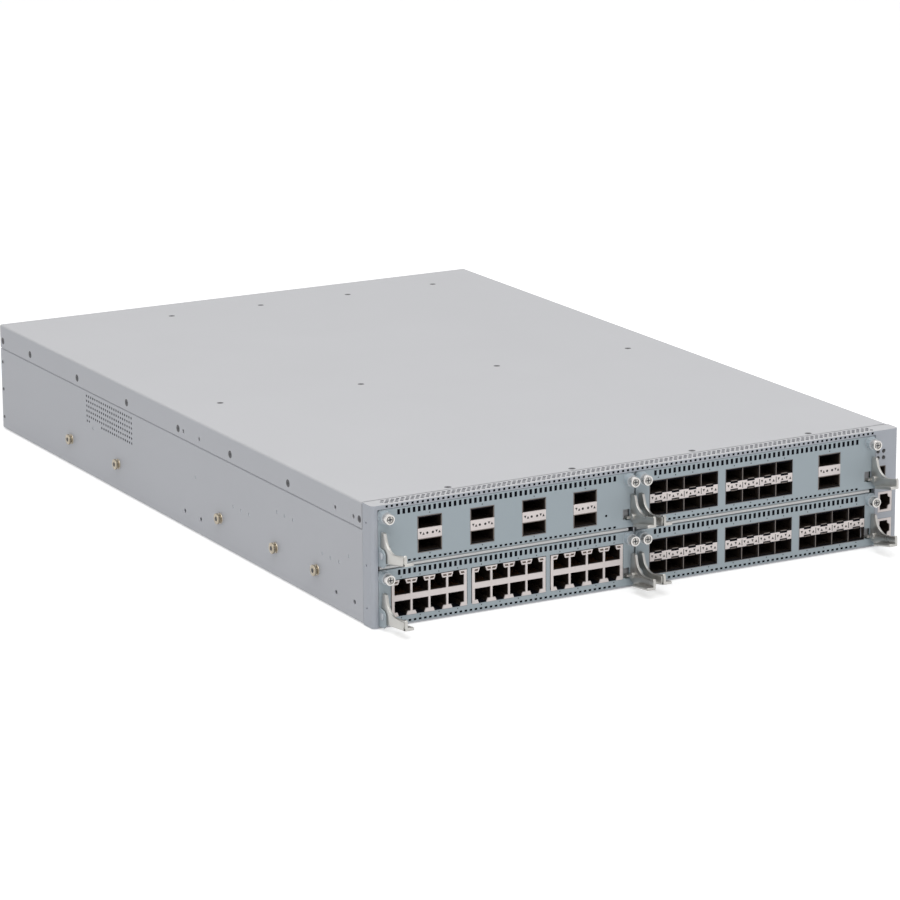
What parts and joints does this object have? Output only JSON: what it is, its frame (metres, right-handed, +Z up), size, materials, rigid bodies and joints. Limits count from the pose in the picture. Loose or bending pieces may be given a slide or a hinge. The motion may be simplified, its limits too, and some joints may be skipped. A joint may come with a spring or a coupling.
{
  "type": "modular chassis switch",
  "caption": "Shallow rack-width network chassis with plug-in port modules, ejector levers, a side control column, and pull-out fans and power supplies at the rear.",
  "frame": {"origin": "centre of the flat underside of the chassis", "axes": "+X to the right seen from the front, +Y from the front face to the rear, +Z up"},
  "size_m": [0.447, 0.712, 0.0881],
  "materials": {
    "zinc_steel": "zinc-plated sheet",
    "bezel_paint": "satin light grey-blue",
    "face_paint": "satin blue-grey",
    "bare_steel": "nickel-plated",
    "stud_zinc": "yellow zinc",
    "cage_steel": "plain",
    "jack_plastic": "off-white",
    "board_green": "solder mask",
    "connector_black": "moulded",
    "sink_aluminium": "plain",
    "fan_black": "moulded",
    "lens_plastic": "clear"
  },
  "bodies": {
    "chassis": {"chassis_tray": "zinc_steel", "top_cover": "zinc_steel", "front_frame": "bezel_paint", "slot_shelf": "zinc_steel", "slot_divider": "zinc_steel", "midplane_board": "board_green", "midplane_sockets": "connector_black", "main_board": "board_green", "heat_sinks": "sink_aluminium", "rear_panel": "zinc_steel", "psu_bay": "zinc_steel", "rail_studs": "stud_zinc", "control_board": "board_green", "usb_port": "bare_steel", "console_jack": "jack_plastic", "management_jack": "jack_plastic", "status_lights": "lens_plastic"},
    "module_1": {"module_1_carrier": "face_paint", "module_1_board": "board_green", "module_1_cages": "cage_steel"},
    "module_1_lever_left": {"module_1_lever_left": "bare_steel"},
    "module_1_screw_left": {"module_1_screw_left": "bare_steel"},
    "module_1_lever_right": {"module_1_lever_right": "bare_steel"},
    "module_1_screw_right": {"module_1_screw_right": "bare_steel"},
    "module_2": {"module_2_carrier": "face_paint", "module_2_board": "board_green", "module_2_cages": "cage_steel"},
    "module_2_lever_left": {"module_2_lever_left": "bare_steel"},
    "module_2_screw_left": {"module_2_screw_left": "bare_steel"},
    "module_2_lever_right": {"module_2_lever_right": "bare_steel"},
    "module_2_screw_right": {"module_2_screw_right": "bare_steel"},
    "module_3": {"module_3_carrier": "face_paint", "module_3_board": "board_green", "module_3_cages": "jack_plastic"},
    "module_3_lever_left": {"module_3_lever_left": "bare_steel"},
    "module_3_screw_left": {"module_3_screw_left": "bare_steel"},
    "module_3_lever_right": {"module_3_lever_right": "bare_steel"},
    "module_3_screw_right": {"module_3_screw_right": "bare_steel"},
    "module_4": {"module_4_carrier": "face_paint", "module_4_board": "board_green", "module_4_cages": "cage_steel"},
    "module_4_lever_left": {"module_4_lever_left": "bare_steel"},
    "module_4_screw_left": {"module_4_screw_left": "bare_steel"},
    "module_4_lever_right": {"module_4_lever_right": "bare_steel"},
    "module_4_screw_right": {"module_4_screw_right": "bare_steel"},
    "fan_1_module": {"fan_1_housing": "fan_black"},
    "fan_1_rotor": {"fan_1_rotor": "fan_black"},
    "fan_2_module": {"fan_2_housing": "fan_black"},
    "fan_2_rotor": {"fan_2_rotor": "fan_black"},
    "fan_3_module": {"fan_3_housing": "fan_black"},
    "fan_3_rotor": {"fan_3_rotor": "fan_black"},
    "psu_lower": {"psu_lower_case": "zinc_steel", "psu_lower_inlet": "connector_black"},
    "psu_lower_latch": {"psu_lower_latch": "connector_black"},
    "psu_lower_rotor": {"psu_lower_rotor": "fan_black"},
    "psu_upper": {"psu_upper_case": "zinc_steel", "psu_upper_inlet": "connector_black"},
    "psu_upper_latch": {"psu_upper_latch": "connector_black"},
    "psu_upper_rotor": {"psu_upper_rotor": "fan_black"}
  },
  "joints": [
    {"name": "module_1_slide", "type": "slide", "parent": "chassis", "child": "module_1", "axis": [0, -1, 0], "range_m": [0, 0.25]},
    {"name": "module_1_lever_left_hinge", "type": "hinge", "parent": "module_1", "child": "module_1_lever_left", "pos_m": [-0.2126, -0.3345, 0.0534], "axis": [1, 0, 0], "range_deg": [0, 30]},
    {"name": "module_1_screw_left_turn", "type": "hinge", "parent": "module_1", "child": "module_1_screw_left", "pos_m": [-0.2107, -0.337, 0.0798], "axis": [0, 1, 0], "continuous": true},
    {"name": "module_1_lever_right_hinge", "type": "hinge", "parent": "module_1", "child": "module_1_lever_right", "pos_m": [-0.0111, -0.3345, 0.0534], "axis": [1, 0, 0], "range_deg": [0, 30]},
    {"name": "module_1_screw_right_turn", "type": "hinge", "parent": "module_1", "child": "module_1_screw_right", "pos_m": [-0.013, -0.337, 0.0798], "axis": [0, 1, 0], "continuous": true},
    {"name": "module_2_slide", "type": "slide", "parent": "chassis", "child": "module_2", "axis": [0, -1, 0], "range_m": [0, 0.25]},
    {"name": "module_2_lever_left_hinge", "type": "hinge", "parent": "module_2", "child": "module_2_lever_left", "pos_m": [-0.0045, -0.3345, 0.0534], "axis": [1, 0, 0], "range_deg": [0, 30]},
    {"name": "module_2_screw_left_turn", "type": "hinge", "parent": "module_2", "child": "module_2_screw_left", "pos_m": [-0.0026, -0.337, 0.0798], "axis": [0, 1, 0], "continuous": true},
    {"name": "module_2_lever_right_hinge", "type": "hinge", "parent": "module_2", "child": "module_2_lever_right", "pos_m": [0.197, -0.3345, 0.0534], "axis": [1, 0, 0], "range_deg": [0, 30]},
    {"name": "module_2_screw_right_turn", "type": "hinge", "parent": "module_2", "child": "module_2_screw_right", "pos_m": [0.1951, -0.337, 0.0798], "axis": [0, 1, 0], "continuous": true},
    {"name": "module_3_slide", "type": "slide", "parent": "chassis", "child": "module_3", "axis": [0, -1, 0], "range_m": [0, 0.25]},
    {"name": "module_3_lever_left_hinge", "type": "hinge", "parent": "module_3", "child": "module_3_lever_left", "pos_m": [-0.2126, -0.3345, 0.0099], "axis": [1, 0, 0], "range_deg": [-5, 25]},
    {"name": "module_3_screw_left_turn", "type": "hinge", "parent": "module_3", "child": "module_3_screw_left", "pos_m": [-0.2107, -0.337, 0.0363], "axis": [0, 1, 0], "continuous": true},
    {"name": "module_3_lever_right_hinge", "type": "hinge", "parent": "module_3", "child": "module_3_lever_right", "pos_m": [-0.0111, -0.3345, 0.0099], "axis": [1, 0, 0], "range_deg": [-5, 25]},
    {"name": "module_3_screw_right_turn", "type": "hinge", "parent": "module_3", "child": "module_3_screw_right", "pos_m": [-0.013, -0.337, 0.0363], "axis": [0, 1, 0], "continuous": true},
    {"name": "module_4_slide", "type": "slide", "parent": "chassis", "child": "module_4", "axis": [0, -1, 0], "range_m": [0, 0.25]},
    {"name": "module_4_lever_left_hinge", "type": "hinge", "parent": "module_4", "child": "module_4_lever_left", "pos_m": [-0.0045, -0.3345, 0.0099], "axis": [1, 0, 0], "range_deg": [0, 30]},
    {"name": "module_4_screw_left_turn", "type": "hinge", "parent": "module_4", "child": "module_4_screw_left", "pos_m": [-0.0026, -0.337, 0.0363], "axis": [0, 1, 0], "continuous": true},
    {"name": "module_4_lever_right_hinge", "type": "hinge", "parent": "module_4", "child": "module_4_lever_right", "pos_m": [0.197, -0.3345, 0.0099], "axis": [1, 0, 0], "range_deg": [0, 30]},
    {"name": "module_4_screw_right_turn", "type": "hinge", "parent": "module_4", "child": "module_4_screw_right", "pos_m": [0.1951, -0.337, 0.0363], "axis": [0, 1, 0], "continuous": true},
    {"name": "fan_1_slide", "type": "slide", "parent": "chassis", "child": "fan_1_module", "axis": [0, 1, 0], "range_m": [0, 0.09]},
    {"name": "fan_1_spin", "type": "hinge", "parent": "fan_1_module", "child": "fan_1_rotor", "pos_m": [-0.16672, 0.3, 0.043], "axis": [0, 1, 0], "continuous": true},
    {"name": "fan_2_slide", "type": "slide", "parent": "chassis", "child": "fan_2_module", "axis": [0, 1, 0], "range_m": [0, 0.09]},
    {"name": "fan_2_spin", "type": "hinge", "parent": "fan_2_module", "child": "fan_2_rotor", "pos_m": [-0.05215, 0.3, 0.043], "axis": [0, 1, 0], "continuous": true},
    {"name": "fan_3_slide", "type": "slide", "parent": "chassis", "child": "fan_3_module", "axis": [0, 1, 0], "range_m": [0, 0.09]},
    {"name": "fan_3_spin", "type": "hinge", "parent": "fan_3_module", "child": "fan_3_rotor", "pos_m": [0.06242, 0.3, 0.043], "axis": [0, 1, 0], "continuous": true},
    {"name": "psu_lower_slide", "type": "slide", "parent": "chassis", "child": "psu_lower", "axis": [0, 1, 0], "range_m": [0, 0.24]},
    {"name": "psu_lower_latch_hinge", "type": "hinge", "parent": "psu_lower", "child": "psu_lower_latch", "pos_m": [0.1775, 0.3335, 0.02225], "axis": [0, 0, 1], "range_deg": [0, 15], "stiffness_Nm_per_rad": 0.02, "springref_deg": -5.73},
    {"name": "psu_lower_spin", "type": "hinge", "parent": "psu_lower", "child": "psu_lower_rotor", "pos_m": [0.153, 0.313, 0.02225], "axis": [0, 1, 0], "continuous": true},
    {"name": "psu_upper_slide", "type": "slide", "parent": "chassis", "child": "psu_upper", "axis": [0, 1, 0], "range_m": [0, 0.24]},
    {"name": "psu_upper_latch_hinge", "type": "hinge", "parent": "psu_upper", "child": "psu_upper_latch", "pos_m": [0.1775, 0.3335, 0.06375], "axis": [0, 0, 1], "range_deg": [0, 15], "stiffness_Nm_per_rad": 0.02, "springref_deg": -5.73},
    {"name": "psu_upper_spin", "type": "hinge", "parent": "psu_upper", "child": "psu_upper_rotor", "pos_m": [0.153, 0.313, 0.06375], "axis": [0, 1, 0], "continuous": true}
  ]
}
